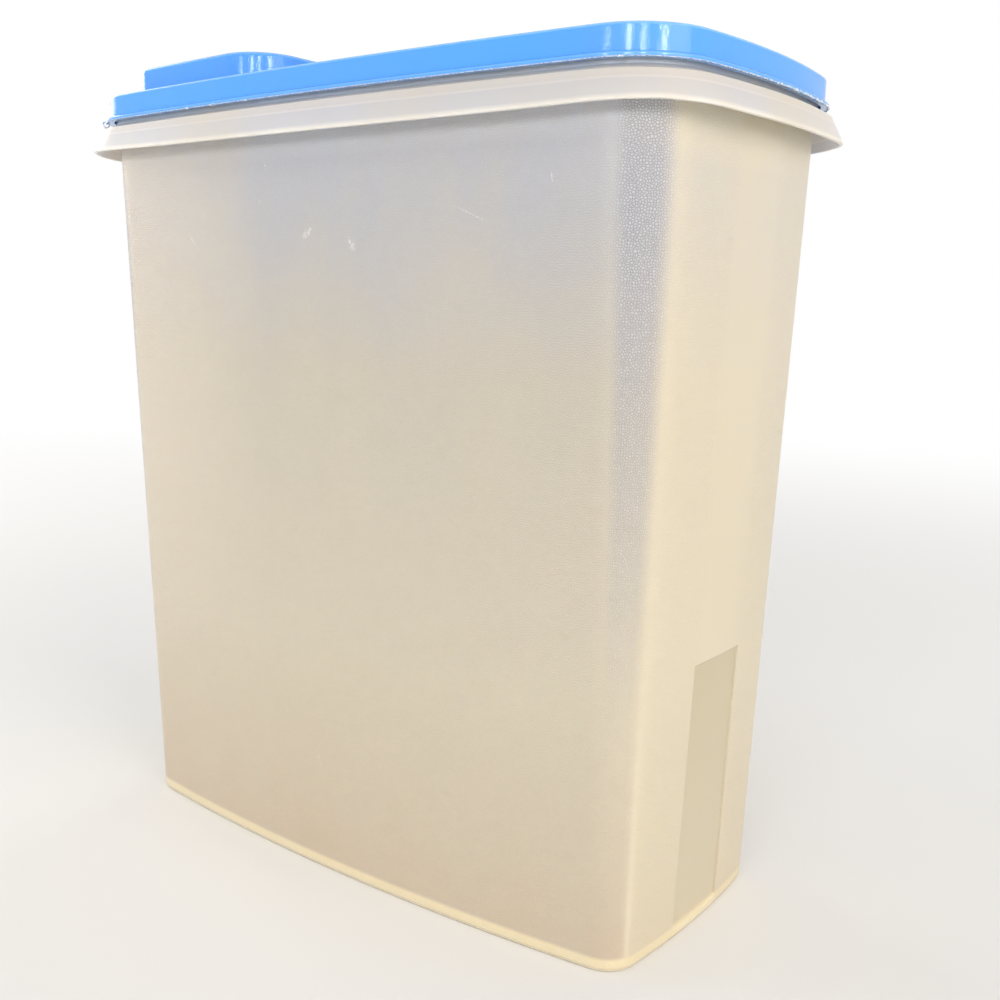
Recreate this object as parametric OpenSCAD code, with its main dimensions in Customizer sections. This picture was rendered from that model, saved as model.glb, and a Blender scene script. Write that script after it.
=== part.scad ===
// Cereal container with a flip spout: canister, press-on lid and hinged pour cap
// Millimetres, +Z up, origin on the table under the middle of the canister
// The pour spout is at the -X end

/* [Canister plan] */
// Length of the foot, between the middles of the end walls
foot_length = 244; // [200:1:280]
// Width of the foot, between the middles of the broad walls
foot_width = 110; // [90:1:130]
// Corner radius at the foot
foot_corner_r = 12; // [10:1:18]
// Outward bow of a broad wall at the foot
foot_side_bow = 8.2; // [4:0.1:12]
// Outward bow of an end wall at the foot
foot_end_bow = 4.3; // [2:0.1:7]
// Length at the shoulder, between the middles of the end walls
mouth_length = 264.6; // [240:0.2:300]
// Width at the shoulder, between the middles of the broad walls
mouth_width = 124.8; // [110:0.2:140]
// Corner radius at the shoulder
mouth_corner_r = 22; // [16:1:28]
// Outward bow of a broad wall at the shoulder
mouth_side_bow = 5.3; // [3:0.1:9]
// Outward bow of an end wall at the shoulder
mouth_end_bow = 7.2; // [4:0.1:10]

/* [Canister walls] */
// Height at which the sides stop spreading
shoulder_z = 270; // [200:1:330]
// Wall thickness
wall = 1.8; // [1.4:0.1:2.4]
// Floor thickness
floor_t = 2.4; // [1.6:0.1:4]
// Depth of the hollow under the floor
foot_recess = 1.8; // [0.8:0.1:3]
// Width of the flat ring that the canister stands on
foot_ring_w = 4.8; // [3:0.1:5.5]
// Bevel at the foot's outer edge
foot_bevel = 1.2; // [0.5:0.1:1.8]
// Fillet between floor and walls, inside
floor_fillet = 5; // [3:0.5:7]

/* [Sight panel] */
// Width of the sunken sight panel in each end wall
sight_w = 30; // [16:1:44]
// Height of its top edge
sight_top_z = 98; // [40:1:180]
// Depth that it is sunk
sight_depth = 0.6; // [0.3:0.1:0.8]

/* [Neck and skirt] */
// Height of the neck's root above the shoulder
neck_lift = 9; // [8:0.5:14]
// Outward step from the wall to the neck's outer face
neck_step = 1.3; // [0.8:0.1:2]
// Neck thickness
neck_t = 1.8; // [1.4:0.1:2.2]
// Neck height above its root
neck_h = 9.4; // [7:0.2:13]
// Snap bead on the neck, beyond its outer face
bead = 0.5; // [0.3:0.1:0.7]
// Reach of the skirt beyond the neck's outer face
skirt_reach = 9; // [7:0.2:12]
// Drop of the skirt's edge below the neck's root, at the corners
skirt_drop = 10.2; // [8:0.1:14]
// How much lower the skirt's edge hangs in the middle of a broad wall than at the corners
skirt_side_sag = 1.4; // [0:0.1:2.5]
// How much lower it hangs in the middle of an end wall
skirt_end_sag = 0.8; // [0:0.1:2]
// Reach of the skirt's crease beyond the neck
crease_reach = 4.8; // [4:0.1:5.6]
// Drop of the skirt's crease below the neck's root
crease_drop = 1.6; // [1.2:0.1:3.5]
// Skirt thickness
skirt_t = 1.4; // [1:0.1:1.8]

/* [Lid] */
// Clearance between lid and neck, inside and outside
fit_gap = 0.3; // [0.2:0.05:0.5]
// Gap between the neck's top and the lid's channel
seat_gap = 0.2; // [0.1:0.05:0.4]
// Lid wall thickness
lid_t = 1.4; // [1:0.1:1.8]
// Gap between the lid's lip and the neck's root
lip_clear = 1.6; // [1:0.1:3]
// Reach of the lip beyond the lid's outer wall
lip_reach = 1.4; // [0.6:0.1:2]
// Thickness of the lip
lip_t = 1.3; // [0.8:0.1:1.8]
// Gap between the end of the plug wall and the neck's root
plug_clear = 1; // [0.6:0.1:2]
// Rounding of the rim's edges
lid_round = 1; // [0.3:0.1:1.2]
// Depth of the sunken lid panel below the rim
deck_drop = 6; // [4:0.2:6.8]

/* [Flip cap] */
// Distance from the lid's outer wall to the cap's walls
cap_inset = 13.8; // [12:0.2:20]
// Length of the cap, from front to hinge side
cap_length = 80; // [60:1:100]
// Radius of the cap's front corners
cap_front_r = 8; // [7:0.5:14]
// Radius of the cap's corners on the hinge side
cap_rear_r = 18; // [8:0.5:20]
// Height of the cap's top above the lid's rim
cap_rise = 12; // [9:0.5:18]
// Cap wall thickness
cap_t = 1.4; // [1:0.1:1.8]
// Rounding of the cap's top edge
cap_round = 1.6; // [0.8:0.1:2]
// Gap under the cap's walls
cap_clear = 0.4; // [0.3:0.1:0.8]
// Width of the thumb tab
tab_w = 24; // [14:1:36]
// Reach of the thumb tab past the lid's outer wall
tab_reach = 2.4; // [1:0.2:4]
// Thickness of the thumb tab
tab_t = 1.6; // [1.2:0.1:2.2]
// Gap between the thumb tab and the lid's rim
tab_clear = 0.5; // [0.3:0.1:1]

/* [Pour spout] */
// Gap between the spout collar and the cap's walls
collar_gap = 0.7; // [0.6:0.1:1.2]
// Further gap at the hinge side, for the cap's swing
collar_back_gap = 1.8; // [1.6:0.1:4]
// Collar thickness
collar_t = 1.4; // [1:0.1:1.8]
// Headroom between the collar and the cap's ceiling
collar_head = 4.1; // [3:0.1:6]
// Thickness of the cap's sealing ring
seal_t = 1.2; // [0.8:0.1:1.6]
// Depth that the sealing ring dips into the collar
seal_dip = 2; // [1:0.1:2.5]
// Gap between the sealing ring and the collar
seal_gap = 0.7; // [0.5:0.1:1.2]
// Further gap at the hinge side, for the ring's swing
seal_back_gap = 1.8; // [1.6:0.1:4]

/* [Hinge] */
// Height of the hinge axis above the sunken lid panel
hinge_h = 4; // [3.8:0.1:5]
// Distance of the hinge axis behind the cap
hinge_back = 4; // [3.9:0.1:6]
// Half of the span between the two lugs
lug_y = 30; // [18:0.5:36]
// Thickness of a lug
lug_w = 3.5; // [2.5:0.1:5]
// Radius of a lug about the axis
lug_r = 3.3; // [2.8:0.1:3.5]
// Radius of the cap's hinge pins
pin_r = 1.5; // [1.2:0.05:1.7]
// Radial clearance of the pins in the lugs
pin_play = 0.06; // [0.03:0.01:0.09]
// Radius of the barrel between the pins
barrel_r = 2.4; // [2:0.1:2.8]
// Gap between barrel and lug, at each end
end_play = 0.4; // [0.3:0.1:0.8]
// Thickness of the leaf from the barrel to the cap
leaf_t = 2.6; // [2:0.1:3]
// Length of barrel that stands clear of the leaf, at each end
leaf_in = 2; // [1:0.5:6]

/* [Hidden] */
milk = "#DAD5C6";
sky = "#5AA8F2";
end_steps = 2;
corner_steps = 8;
side_steps = 4;
edge_steps = 3;
$fn = 48;
sight_draft = 0.6;
edge_r = 0.45;
floor_z = foot_recess + floor_t;
neck_z = shoulder_z + neck_lift;
neck_top_z = neck_z + neck_h;
neck_in = neck_step - neck_t;
skirt_out = neck_step + skirt_reach;
skirt_z = neck_z - skirt_drop;
crease_out = neck_step + crease_reach;
crease_z = neck_z - crease_drop;
lid_top_z = neck_top_z + seat_gap + lid_t;
channel_out = neck_step + bead + fit_gap;
lid_out = channel_out + lid_t;
lip_z = neck_z + lip_clear;
plug_out = neck_in - fit_gap;
plug_in = plug_out - lid_t;
plug_z = neck_z + plug_clear;
deck_z = lid_top_z - deck_drop;
cap_out = lid_out - cap_inset;
cap_z = deck_z + cap_clear;
cap_top_z = lid_top_z + cap_rise;
ceiling_z = cap_top_z - cap_t;
cap_front_x = -(mouth_length / 2 + cap_out);
cap_back_x = cap_front_x + cap_length;
collar_top_z = ceiling_z - collar_head;
collar_o = -(cap_t + collar_gap);
seal_o = collar_o - collar_t - seal_gap;
seal_back = collar_back_gap + seal_back_gap;
axis_x = cap_back_x + hinge_back;
axis_z = deck_z + hinge_h;
barrel_half = lug_y - end_play;
pin_half = lug_y + lug_w - end_play;
lug_foot_half = 0.9 * lug_r;
collar_root = 1.5 * lid_t;
tab_corner_r = tab_w / 4;

function lerp(a, b, k) = a + (b - a) * k;
function bow_radius(half, bow) = (half * half + bow * bow) / (2 * bow);
function heading(v) = atan2(v.y, v.x);
function arc(c, r, a0, a1, n) = [for (i = [0:n]) c + r * [cos(lerp(a0, a1, i / n)), sin(lerp(a0, a1, i / n))]];
function rest_of(list) = [for (i = [1:len(list) - 1]) list[i]];
function raised(ring, z) = [for (p = ring) [p.x, p.y, z]];

// Centre of a corner of radius r inside two arcs: the far crossing of the circles r inside them
function corner_centre(c1, r1, c2, r2, r) =
    let (d = c2 - c1)
    let (u = d / norm(d))
    let (t = (pow(r1 - r, 2) - pow(r2 - r, 2) + d * d) / (2 * norm(d)))
    c1 + u * t + sqrt(pow(r1 - r, 2) - t * t) * [u.y, -u.x];

// The canister's plan at height z: radii of side, end and corner, then the centres of the same three arcs
function plan_at(z) =
    let (k = min(max(z, 0), shoulder_z) / shoulder_z)
    let (a = lerp(foot_length, mouth_length, k) / 2)
    let (b = lerp(foot_width, mouth_width, k) / 2)
    let (rs = bow_radius(a, lerp(foot_side_bow, mouth_side_bow, k)))
    let (re = bow_radius(b, lerp(foot_end_bow, mouth_end_bow, k)))
    let (r = lerp(foot_corner_r, mouth_corner_r, k))
    let (cs = [0, b - rs])
    let (ce = [a - re, 0])
    [rs, re, r, cs, ce, corner_centre(cs, rs, ce, re, r)];

// One quarter of the plan, offset by o, from the end wall's middle to the broad wall's
function quarter(z, o, sunk) =
    let (p = plan_at(z))
    let (re = p[1] + o)
    let (turn = heading(p[5] - p[4]))
    let (side = heading(p[5] - p[3]))
    let (panel = asin(sight_w / 2 / re))
    let (edge = asin((sight_w / 2 + sight_draft) / re))
    concat(
        [for (t = [0, panel]) p[4] + (re - sunk) * [cos(t), sin(t)]],
        arc(p[4], re, edge, turn, end_steps),
        rest_of(arc(p[5], p[2] + o, turn, side, corner_steps)),
        rest_of(arc(p[3], p[0] + o, side, 90, side_steps)));

// The whole plan, mirrored from one quarter
function mirrored(q) =
    let (n = len(q) - 1)
    concat(
        q,
        [for (i = [n - 1:-1:0]) [-q[i].x, q[i].y]],
        [for (i = [1:n]) -q[i]],
        [for (i = [n - 1:-1:1]) [q[i].x, -q[i].y]]);
function outline(z, o, sunk = 0) = mirrored(quarter(z, o, sunk));
function ring(z, o, sunk = 0) = raised(outline(z, o, sunk), z);

// The skirt's edge sags between its corners: dip is 1 in the middle of a wall and 0 at the corners
function dip(along, corner) = max(0, 1 - pow(abs(along) / corner, 3));
function sag(p) =
    let (q = plan_at(shoulder_z))
    let (corner = q[5] + (q[2] + skirt_out) * [cos(45), sin(45)])
    skirt_side_sag * dip(p.x, corner.x) + skirt_end_sag * dip(p.y, corner.y);
function hem_ring(z, o) = [for (p = outline(z, o)) [p.x, p.y, z - sag(p)]];

// Plan of the flip cap, offset by o: its front and sides run parallel to the lid's, and its back is straight
function cap_plan(o, back_in = 0) =
    let (p = plan_at(shoulder_z))
    let (rs = p[0] + cap_out)
    let (re = p[1] + cap_out)
    let (ce = [-p[4].x, 0])
    let (back_x = cap_back_x - back_in - cap_rear_r)
    let (back = [back_x, p[3].y + sqrt(pow(rs - cap_rear_r, 2) - back_x * back_x)])
    let (far = corner_centre([0, p[3].y], rs, [p[4].x, 0], re, cap_front_r))
    let (front = [-far.x, far.y])
    let (half = concat(
        [[back.x + cap_rear_r + o, 0]],
        arc(back, cap_rear_r + o, 0, heading(back - p[3]), corner_steps),
        rest_of(arc(p[3], rs + o, heading(back - p[3]), heading(front - p[3]), side_steps)),
        rest_of(arc(front, cap_front_r + o, heading(front - p[3]), heading(front - ce), corner_steps)),
        rest_of(arc(ce, re + o, heading(front - ce), 180, end_steps + 1))))
    concat(half, [for (i = [len(half) - 2:-1:1]) [half[i].x, -half[i].y]]);
function cap_ring(z, o, back_in = 0) = raised(cap_plan(o, back_in), z);

// A wall's end at height z with both edges rounded to r, as [offset, height] pairs from offset o0 to o1
// up is 1 for an end that faces up, and -1 for one that faces down
function round_end(o0, o1, z, up, r = edge_r) =
    let (turns = [for (i = [0:edge_steps]) 90 * i / edge_steps])
    let (in = sign(o1 - o0) * r)
    concat(
        [for (t = turns) [o0 + in * (1 - cos(t)), z - up * r * (1 - sin(t))]],
        [for (t = turns) [o1 - in * (1 - sin(t)), z - up * r * (1 - cos(t))]]);

// Skin over a stack of rings with equal counts of points: closed at both ends by fans, or on itself as a hoop
module skin(rings, hoop = false) {
    n = len(rings[0]);
    m = len(rings);
    middles = [for (r = [rings[0], rings[m - 1]]) [for (p = r) 1 / n] * r];
    sides = [for (j = [0:m - (hoop ? 1 : 2)], i = [0:n - 1])
        let (k = (j + 1) % m, h = (i + 1) % n)
        each [[j * n + i, k * n + h, j * n + h], [j * n + i, k * n + i, k * n + h]]];
    ends = hoop ? [] : [for (i = [0:n - 1])
        let (h = (i + 1) % n, top = (m - 1) * n)
        each [[m * n, i, h], [m * n + 1, top + h, top + i]]];
    polyhedron(points = concat([for (r = rings) each r], hoop ? [] : middles), faces = concat(sides, ends));
}

// The canister's wall as one lofted skin: hollow foot, walls, flared skirt, neck, inside walls and floor
module container() {
    crease_in = crease_out - skirt_t;
    under_z = crease_z - skirt_t / 2;
    outside = [
        [-foot_bevel - foot_ring_w - foot_recess, foot_recess, 0],
        [-foot_bevel - foot_ring_w, 0, 0],
        [-foot_bevel, 0, 0],
        [-foot_bevel / 3, foot_bevel / 3, 0],
        [0, foot_bevel, 0],
        [0, floor_z - sight_draft, 0],
        [0, floor_z, sight_depth],
        [0, sight_top_z, sight_depth],
        [0, sight_top_z + sight_draft, 0],
        [0, lerp(sight_top_z, shoulder_z, 0.5), 0],
        [0, shoulder_z, 0],
        [0, neck_z - skirt_t - edge_r, 0],
        [edge_r, neck_z - skirt_t, 0],
        [crease_in, under_z, 0]];
    hem = round_end(skirt_out - skirt_t, skirt_out, skirt_z, -1);
    neck = [
        [crease_out, crease_z, 0],
        [neck_step + edge_r, neck_z, 0],
        [neck_step, neck_z + edge_r, 0],
        [neck_step, neck_top_z - neck_t - bead, 0],
        [neck_step + bead, neck_top_z - neck_t, 0],
        [neck_step + bead, neck_top_z - 2 * edge_r, 0]];
    rim = [for (q = round_end(neck_step + bead - edge_r / 2, neck_in, neck_top_z, 1)) [q[0], q[1], 0]];
    inside = concat(
        [[neck_in, neck_z, 0], [-wall, neck_z - neck_step, 0], [-wall, shoulder_z, 0]],
        [for (i = [0:edge_steps]) let (t = 90 * i / edge_steps)
            [-wall - floor_fillet * (1 - cos(t)), floor_z + floor_fillet * (1 - sin(t)), 0]]);
    color(milk) skin(concat(
        [for (s = outside) ring(s[1], s[0], s[2])],
        [for (s = hem) hem_ring(s[1], s[0])],
        [for (s = concat(neck, rim, inside)) ring(s[1], s[0], s[2])]));
}

// The lid's edge as one hoop: lip, outer wall, rim, plug wall and the channel that the neck fits
module lid_edge() {
    stations = concat(
        round_end(channel_out, lid_out + lip_reach, lip_z, -1),
        [[lid_out + lip_reach, lip_z + lip_t - edge_r],
         [lid_out + lip_reach - edge_r, lip_z + lip_t],
         [lid_out, lip_z + lip_t + edge_r]],
        round_end(lid_out, plug_in, lid_top_z, 1, lid_round),
        round_end(plug_in, plug_out, plug_z, -1),
        [[plug_out, lid_top_z - lid_t], [channel_out, lid_top_z - lid_t]]);
    skin([for (s = stations) ring(s[1], s[0])], hoop = true);
}

// The sunken deck inside the lid's edge, with the way through to the spout
module lid_deck() {
    translate([0, 0, deck_z - lid_t]) linear_extrude(lid_t) difference() {
        polygon(outline(shoulder_z, (plug_in + plug_out) / 2));
        polygon(cap_plan(collar_o - collar_t / 2, collar_back_gap));
    }
}

// The raised collar round the pour opening
module spout_collar() {
    stations = concat(
        round_end(collar_o - collar_t, collar_o, deck_z - collar_root, -1),
        round_end(collar_o, collar_o - collar_t, collar_top_z, 1));
    skin([for (s = stations) cap_ring(s[1], s[0], collar_back_gap)], hoop = true);
}

// One hinge lug, standing on the deck about the axis
module hinge_lug() {
    rotate([-90, 0, 0]) cylinder(r = lug_r, h = lug_w);
    translate([-lug_foot_half, 0, -hinge_h - lid_t / 2]) cube([2 * lug_foot_half, lug_w, hinge_h + lid_t / 2]);
}

module lid() {
    color(sky) difference() {
        union() {
            lid_edge();
            lid_deck();
            spout_collar();
            for (y = [lug_y, -lug_y - lug_w]) translate([axis_x, y, axis_z]) hinge_lug();
        }
        for (y = [lug_y, -lug_y - lug_w])
            translate([axis_x, y - lug_w / 2, axis_z]) rotate([-90, 0, 0])
                cylinder(r = pin_r + pin_play, h = 2 * lug_w);
    }
}

// The cap's shell: ceiling, inside walls, bottom edge, outside walls and rounded top
module cap_shell() {
    stations = concat(
        [[-cap_t - cap_round, ceiling_z], [-cap_t, ceiling_z - cap_round]],
        round_end(-cap_t, 0, cap_z, -1),
        [for (i = [0:edge_steps]) let (t = 90 * i / edge_steps)
            [-cap_round * (1 - cos(t)), cap_top_z - cap_round * (1 - sin(t))]]);
    skin([for (s = stations) cap_ring(s[1], s[0])]);
}

// The ring under the ceiling that seals inside the collar
module seal_ring() {
    bottom = collar_top_z - seal_dip;
    translate([0, 0, bottom]) linear_extrude(ceiling_z + cap_t / 2 - bottom) difference() {
        polygon(cap_plan(seal_o, seal_back));
        polygon(cap_plan(seal_o - seal_t, seal_back));
    }
}

// The thumb tab, out over the lid's rim
module thumb_tab() {
    in_x = tab_corner_r - cap_inset - tab_reach;
    in_y = tab_w / 2 - tab_corner_r;
    translate([cap_front_x, 0, lid_top_z + tab_clear]) linear_extrude(tab_t)
        polygon(concat(
            arc([in_x, in_y], tab_corner_r, 180, 90, corner_steps),
            [[cap_t / 2, tab_w / 2], [cap_t / 2, -tab_w / 2]],
            arc([in_x, -in_y], tab_corner_r, 270, 180, corner_steps)));
}

// The leaf, barrel and end pins that hang the cap between the lugs
module hinge_barrel() {
    translate([axis_x, 0, axis_z]) {
        rotate([90, 0, 0]) cylinder(r = barrel_r, h = 2 * barrel_half, center = true);
        rotate([90, 0, 0]) cylinder(r = pin_r, h = 2 * pin_half, center = true);
        translate([-hinge_back - cap_t / 2, leaf_in - barrel_half, -leaf_t / 2])
            cube([hinge_back + cap_t / 2, 2 * (barrel_half - leaf_in), leaf_t]);
    }
}

module flip_cap() {
    color(sky) union() {
        cap_shell();
        seal_ring();
        thumb_tab();
        hinge_barrel();
    }
}

container();
lid();
flip_cap();
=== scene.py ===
import math
from types import SimpleNamespace

import bmesh
import bpy
from mathutils import Matrix, Vector


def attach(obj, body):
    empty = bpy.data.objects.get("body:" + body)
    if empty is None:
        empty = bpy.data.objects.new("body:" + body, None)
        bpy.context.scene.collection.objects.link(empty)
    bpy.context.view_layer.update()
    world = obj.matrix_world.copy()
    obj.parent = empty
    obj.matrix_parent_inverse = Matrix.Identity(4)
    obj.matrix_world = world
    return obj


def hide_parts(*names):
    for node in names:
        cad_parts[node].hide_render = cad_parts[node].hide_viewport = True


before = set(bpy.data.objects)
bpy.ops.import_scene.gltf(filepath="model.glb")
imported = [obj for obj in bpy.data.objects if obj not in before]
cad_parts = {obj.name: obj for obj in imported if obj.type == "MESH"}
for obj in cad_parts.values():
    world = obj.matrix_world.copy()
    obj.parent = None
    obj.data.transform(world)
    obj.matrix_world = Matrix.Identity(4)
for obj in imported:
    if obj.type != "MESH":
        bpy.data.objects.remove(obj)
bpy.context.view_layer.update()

# Camera
# It stands off the canister's near corner, below the lid, and looks slightly down. Its place is in metres and
# its three turns in radians, all from a fit to the object's outlines.
eye = Vector((0.292485, -0.34232, 0.214747))
yaw = 0.65
pitch = 0.172
roll = 0.021
look = Vector((-math.sin(yaw) * math.cos(pitch), math.cos(yaw) * math.cos(pitch), -math.sin(pitch)))
level = Vector((math.cos(yaw), math.sin(yaw), 0))
upright = level.cross(look)
camera_x = level * math.cos(roll) + upright * math.sin(roll)
camera_y = upright * math.cos(roll) - level * math.sin(roll)
camera = bpy.data.objects.new("camera", bpy.data.cameras.new("camera"))
camera.matrix_world = Matrix.Translation(eye) @ Matrix((camera_x, camera_y, -look)).transposed().to_4x4()
camera.data.sensor_width = 36
camera.data.lens = 41.549
bpy.context.scene.collection.objects.link(camera)
bpy.context.scene.camera = camera
bpy.context.scene.view_settings.view_transform = "Standard"


# Studio
# A pale floor that keeps the object's shadow and pales to white with distance, under an even white room.
# Five broad soft lamps model the walls, and four tall strips draw the streaks on the lid's and cap's corners.
def colour(hex_code):
    """An sRGB hex colour as linear red, green, blue and alpha."""
    parts = [int(hex_code[i:i + 2], 16) / 255 for i in (1, 3, 5)]
    return [c / 12.92 if c <= 0.04045 else ((c + 0.055) / 1.055) ** 2.4 for c in parts] + [1]


def add(tree, kind, sockets=None, **settings):
    """Adds a node with its settings, and links or sets its inputs by name or number."""
    made = tree.nodes.new(kind)
    for name, value in settings.items():
        setattr(made, name, value)
    for key, value in (sockets or {}).items():
        if isinstance(value, bpy.types.NodeSocket):
            tree.links.new(value, made.inputs[key])
        else:
            made.inputs[key].default_value = value
    return made


def shown_as_background(tree):
    """Is 1 for the camera, reflections and light through clear things, and 0 for light that falls on surfaces."""
    path = add(tree, "ShaderNodeLightPath")
    shown = path.outputs["Is Camera Ray"]
    for ray in ("Is Glossy Ray", "Is Transmission Ray"):
        shown = add(tree, "ShaderNodeMath", {0: shown, 1: path.outputs[ray]}, operation="MAXIMUM").outputs[0]
    return shown


room_light = 0.56
world = bpy.data.worlds.new("white_room")
world.use_nodes = True
room = world.node_tree
strength = add(room, "ShaderNodeMapRange", {"Value": shown_as_background(room), "To Min": room_light, "To Max": 1.0})
room.links.new(strength.outputs[0], room.nodes["Background"].inputs["Strength"])
room.nodes["Background"].inputs["Color"].default_value = colour("#FFFFFF")
bpy.context.scene.world = world

floor_half = 3.0
floor_mesh = bpy.data.meshes.new("floor")
floor_mesh.from_pydata(
    [(x * floor_half, y * floor_half, 0) for x, y in ((-1, -1), (1, -1), (1, 1), (-1, 1))], [], [(0, 1, 2, 3)])
floor = bpy.data.objects.new("floor", floor_mesh)
bpy.context.scene.collection.objects.link(floor)
paper = bpy.data.materials.new("matt_white_paper")
paper.use_nodes = True
sheet = paper.node_tree
sheet.nodes["Principled BSDF"].inputs["Base Color"].default_value = colour("#EBEDF0")
sheet.nodes["Principled BSDF"].inputs["Roughness"].default_value = 0.9
far_off = add(sheet, "ShaderNodeVectorMath", {0: add(sheet, "ShaderNodeTexCoord").outputs["Object"]},
              operation="LENGTH").outputs["Value"]
fade = add(sheet, "ShaderNodeMapRange", {"Value": far_off, "From Min": 0.35, "From Max": 1.6},
           interpolation_type="SMOOTHSTEP").outputs[0]
white = add(sheet, "ShaderNodeEmission", {"Color": colour("#FFFFFF")})
seen_fade = add(sheet, "ShaderNodeMath", {0: fade, 1: shown_as_background(sheet)}, operation="MULTIPLY").outputs[0]
paled = add(sheet, "ShaderNodeMixShader",
            {0: seen_fade, 1: sheet.nodes["Principled BSDF"].outputs[0], 2: white.outputs[0]})
sheet.links.new(paled.outputs[0], sheet.nodes["Material Output"].inputs["Surface"])
floor_mesh.materials.append(paper)


def lamp(name, azimuth, height, distance, width, tall, radiance, tint="#FFFFFF", mirrored=True, lights=True):
    """A flat lamp that faces the canister's middle, azimuth degrees round from +X, with its radiance as seen.

    A lamp may be left out of reflections, or be there only in them.
    """
    light = bpy.data.lights.new(name, "AREA")
    light.shape = "RECTANGLE"
    light.size = width
    light.size_y = tall
    light.energy = radiance * math.pi * width * tall
    light.color = colour(tint)[:3]
    held = bpy.data.objects.new(name, light)
    turn = math.radians(azimuth)
    held.location = (distance * math.cos(turn), distance * math.sin(turn), height)
    aim = Vector((0, 0, 0.15)) - held.location
    held.rotation_euler = aim.to_track_quat("-Z", "Y").to_euler()
    held.visible_glossy = mirrored
    held.visible_diffuse = lights
    bpy.context.scene.collection.objects.link(held)


lamp("key", -12, 0.95, 1.9, 1.4, 1.4, 3.5, "#FFF1DC")
lamp("front", -74, 0.7, 2.4, 1.0, 0.5, 11.0, mirrored=False)
lamp("fill", -155, 0.45, 1.2, 0.8, 0.8, 2.0, "#FFF8EC", mirrored=False)
lamp("side", 175, 1.0, 2.0, 1.0, 1.0, 3.0, "#FFF4E2")
lamp("back", 95, 0.9, 2.2, 1.0, 1.0, 3.0, "#FFF8EC", mirrored=False)
strips = ((-96, 0.47, 0.15, 48), (-69, 0.7, 0.17, 42), (-51, 0.7, 0.14, 40), (-26, 0.7, 0.12, 45))
for number, (azimuth, height, width, radiance) in enumerate(strips):
    lamp(f"strip_{number}", azimuth, height, 2.4, width, 0.5, radiance, lights=False)

# Canister
# The tall box is one injection moulding in milky polypropylene: a hollow foot, thin drafted walls that bow
# outwards, a flared skirt to lift it by, and the neck that the lid snaps over. Sizes are in millimetres.
MM = 0.001
foot = dict(length=244, width=110, corner=12, side_bow=8.2, end_bow=4.3)
mouth = dict(length=264.6, width=124.8, corner=22, side_bow=5.3, end_bow=7.2)
shoulder_z = 270
wall = 1.8
floor_z = 4.2
foot_recess = 1.8
foot_ring = 4.8
foot_bevel = 1.2
floor_fillet = 5
sight_w = 30
sight_top = 98
sight_depth = 0.6
neck_z = 279
neck_top = 288.4
neck_out = 1.3
neck_in = -0.5
bead = 0.5
skirt_out = 10.3
skirt_z = 268.8
skirt_t = 1.4
side_sag = 1.4
end_sag = 0.8
crease_out = 6.1
crease_z = 277.4
edge_r = 0.45


def bow_radius(half, bow):
    """Radius of an arc that is 2 * half long on its chord and bows out by bow."""
    return (half * half + bow * bow) / (2 * bow)


def heading(v):
    return math.atan2(v.y, v.x)


def arc(centre, radius, start, end, steps):
    """Points on an arc, its ends included."""
    turns = [start + (end - start) * i / steps for i in range(steps + 1)]
    return [centre + radius * Vector((math.cos(t), math.sin(t))) for t in turns]


def corner_centre(c1, r1, c2, r2, r):
    """Centre of a corner of radius r inside two arcs: the far crossing of the circles r inside them."""
    apart = c2 - c1
    along = apart.normalized()
    reach = ((r1 - r) ** 2 - (r2 - r) ** 2 + apart.length_squared) / (2 * apart.length)
    return c1 + along * reach + Vector((along.y, -along.x)) * math.sqrt((r1 - r) ** 2 - reach ** 2)


def plan_arcs(length, width, corner, side_bow, end_bow):
    """Radii and centres of the side, end and corner arcs in one quarter of a plan."""
    side_r = bow_radius(length / 2, side_bow)
    end_r = bow_radius(width / 2, end_bow)
    side_c = Vector((0, width / 2 - side_r))
    end_c = Vector((length / 2 - end_r, 0))
    corner_c = corner_centre(side_c, side_r, end_c, end_r, corner)
    return SimpleNamespace(side_r=side_r, side_c=side_c, end_r=end_r, end_c=end_c,
                           corner_r=corner, corner_c=corner_c)


def canister_plan(arcs, offset=0):
    """The whole plan, counter-clockwise, with points on both edges of the sight panel's slope."""
    end_r = arcs.end_r + offset
    turn = heading(arcs.corner_c - arcs.end_c)
    side = heading(arcs.corner_c - arcs.side_c)
    panel = math.asin(sight_w / 2 / end_r)
    slope = math.asin((sight_w / 2 + sight_depth) / end_r)
    quarter = arc(arcs.end_c, end_r, 0, panel, 4) + arc(arcs.end_c, end_r, slope, turn, 8)
    quarter += arc(arcs.corner_c, arcs.corner_r + offset, turn, side, 18)[1:]
    quarter += arc(arcs.side_c, arcs.side_r + offset, side, math.pi / 2, 16)[1:]
    half = quarter + [Vector((-p.x, p.y)) for p in quarter[-2::-1]]
    return half + [-p for p in half[1:-1]]


def wall_end(o0, o1, z, up, r=edge_r, steps=6):
    """The end of a wall at height z, both edges rounded to r, as offset and height from o0 to o1."""
    turns = [math.pi / 2 * i / steps for i in range(steps + 1)]
    inward = math.copysign(r, o1 - o0)
    return ([(o0 + inward * (1 - math.cos(t)), z - up * r * (1 - math.sin(t))) for t in turns]
            + [(o1 - inward * (1 - math.sin(t)), z - up * r * (1 - math.cos(t))) for t in turns])


def path(name, points, closed=True):
    """A curve through points given in millimetres."""
    curve = bpy.data.curves.new(name, "CURVE")
    curve.dimensions = "3D"
    line = curve.splines.new("POLY")
    line.points.add(len(points) - 1)
    for point, place in zip(line.points, points):
        point.co = (*(Vector(place).to_3d() * MM), 1)
    line.use_cyclic_u = closed
    held = bpy.data.objects.new(name, curve)
    bpy.context.scene.collection.objects.link(held)
    return held


def section(name, stations, closed=False):
    """A wall's section for a sweep, from stations of offset and height."""
    return path(name, [(o, -z) for o, z in stations], closed)


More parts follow.
